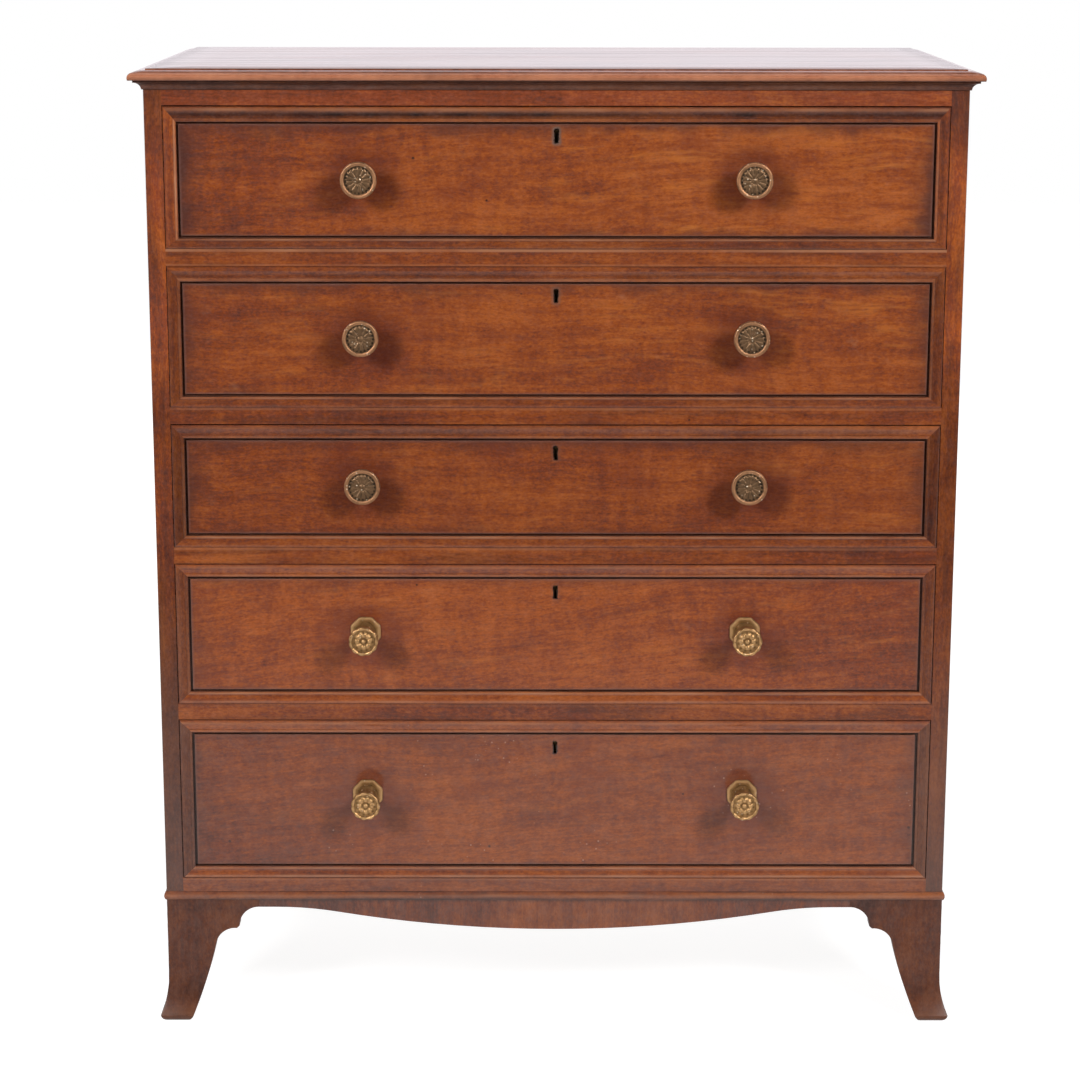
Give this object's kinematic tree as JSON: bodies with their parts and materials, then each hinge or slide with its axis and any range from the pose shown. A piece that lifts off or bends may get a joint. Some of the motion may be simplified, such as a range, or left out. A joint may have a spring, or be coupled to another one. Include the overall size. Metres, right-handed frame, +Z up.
{
  "type": "chest of drawers",
  "caption": "Mahogany chest of long drawers with raised-block fronts in moulded borders, brass rosette knobs, a moulded top and splayed bracket feet.",
  "frame": {"origin": "on the floor, under the middle of the chest's outer box, the knobs included", "axes": "+Z up, +X to the right as seen from the front, the front faces -Y"},
  "size_m": [1.034, 0.588, 1.219],
  "materials": {
    "carcase_mahogany": "french polished",
    "drawer_mahogany": "french polished",
    "drawer_lining": "bare oak, aged",
    "carcase_pine": "bare pine, aged",
    "knob_brass": "cast and lacquered, worn",
    "lock_brass": "dull",
    "bolt_iron": "filed, dull"
  },
  "bodies": {
    "carcase": {"top_board": "carcase_mahogany", "top_cove_moulding": "carcase_mahogany", "left_side_panel": "carcase_mahogany", "right_side_panel": "carcase_mahogany", "front_stiles": "carcase_mahogany", "top_rail": "carcase_mahogany", "drawer_rails": "carcase_mahogany", "bottom_rail": "carcase_mahogany", "rear_top_rail": "carcase_pine", "dust_boards": "carcase_pine", "drawer_runners": "carcase_pine", "drawer_stops": "carcase_pine", "bottom_board": "carcase_pine", "back_boards": "carcase_pine", "base_bead_moulding": "carcase_mahogany", "front_apron": "carcase_mahogany", "side_aprons": "carcase_mahogany", "front_feet": "carcase_mahogany", "rear_feet": "carcase_mahogany", "foot_glue_blocks": "carcase_pine"},
    "drawer_1": {"drawer_1_front": "drawer_mahogany", "drawer_1_border": "drawer_mahogany", "drawer_1_sides": "drawer_lining", "drawer_1_back": "drawer_lining", "drawer_1_bottom": "drawer_lining", "drawer_1_lock": "lock_brass", "drawer_1_knobs": "knob_brass"},
    "drawer_1_bolt": {"drawer_1_lock_bolt": "bolt_iron"},
    "drawer_2": {"drawer_2_front": "drawer_mahogany", "drawer_2_border": "drawer_mahogany", "drawer_2_sides": "drawer_lining", "drawer_2_back": "drawer_lining", "drawer_2_bottom": "drawer_lining", "drawer_2_lock": "lock_brass", "drawer_2_knobs": "knob_brass"},
    "drawer_2_bolt": {"drawer_2_lock_bolt": "bolt_iron"},
    "drawer_3": {"drawer_3_front": "drawer_mahogany", "drawer_3_border": "drawer_mahogany", "drawer_3_sides": "drawer_lining", "drawer_3_back": "drawer_lining", "drawer_3_bottom": "drawer_lining", "drawer_3_lock": "lock_brass", "drawer_3_knobs": "knob_brass"},
    "drawer_3_bolt": {"drawer_3_lock_bolt": "bolt_iron"},
    "drawer_4": {"drawer_4_front": "drawer_mahogany", "drawer_4_border": "drawer_mahogany", "drawer_4_sides": "drawer_lining", "drawer_4_back": "drawer_lining", "drawer_4_bottom": "drawer_lining", "drawer_4_lock": "lock_brass", "drawer_4_knobs": "knob_brass"},
    "drawer_4_bolt": {"drawer_4_lock_bolt": "bolt_iron"},
    "drawer_5": {"drawer_5_front": "drawer_mahogany", "drawer_5_border": "drawer_mahogany", "drawer_5_sides": "drawer_lining", "drawer_5_back": "drawer_lining", "drawer_5_bottom": "drawer_lining", "drawer_5_lock": "lock_brass", "drawer_5_knobs": "knob_brass"},
    "drawer_5_bolt": {"drawer_5_lock_bolt": "bolt_iron"}
  },
  "joints": [
    {"name": "drawer_1_slide", "type": "slide", "parent": "carcase", "child": "drawer_1", "axis": [0, -1, 0], "range_m": [0, 0.38]},
    {"name": "drawer_1_bolt_throw", "type": "slide", "parent": "drawer_1", "child": "drawer_1_bolt", "axis": [0, 0, 1], "range_m": [0, 0.0055]},
    {"name": "drawer_2_slide", "type": "slide", "parent": "carcase", "child": "drawer_2", "axis": [0, -1, 0], "range_m": [0, 0.38]},
    {"name": "drawer_2_bolt_throw", "type": "slide", "parent": "drawer_2", "child": "drawer_2_bolt", "axis": [0, 0, 1], "range_m": [0, 0.0055]},
    {"name": "drawer_3_slide", "type": "slide", "parent": "carcase", "child": "drawer_3", "axis": [0, -1, 0], "range_m": [0, 0.38]},
    {"name": "drawer_3_bolt_throw", "type": "slide", "parent": "drawer_3", "child": "drawer_3_bolt", "axis": [0, 0, 1], "range_m": [0, 0.0055]},
    {"name": "drawer_4_slide", "type": "slide", "parent": "carcase", "child": "drawer_4", "axis": [0, -1, 0], "range_m": [0, 0.38]},
    {"name": "drawer_4_bolt_throw", "type": "slide", "parent": "drawer_4", "child": "drawer_4_bolt", "axis": [0, 0, 1], "range_m": [0, 0.0055]},
    {"name": "drawer_5_slide", "type": "slide", "parent": "carcase", "child": "drawer_5", "axis": [0, -1, 0], "range_m": [0, 0.38]},
    {"name": "drawer_5_bolt_throw", "type": "slide", "parent": "drawer_5", "child": "drawer_5_bolt", "axis": [0, 0, 1], "range_m": [0, 0.0055]}
  ]
}
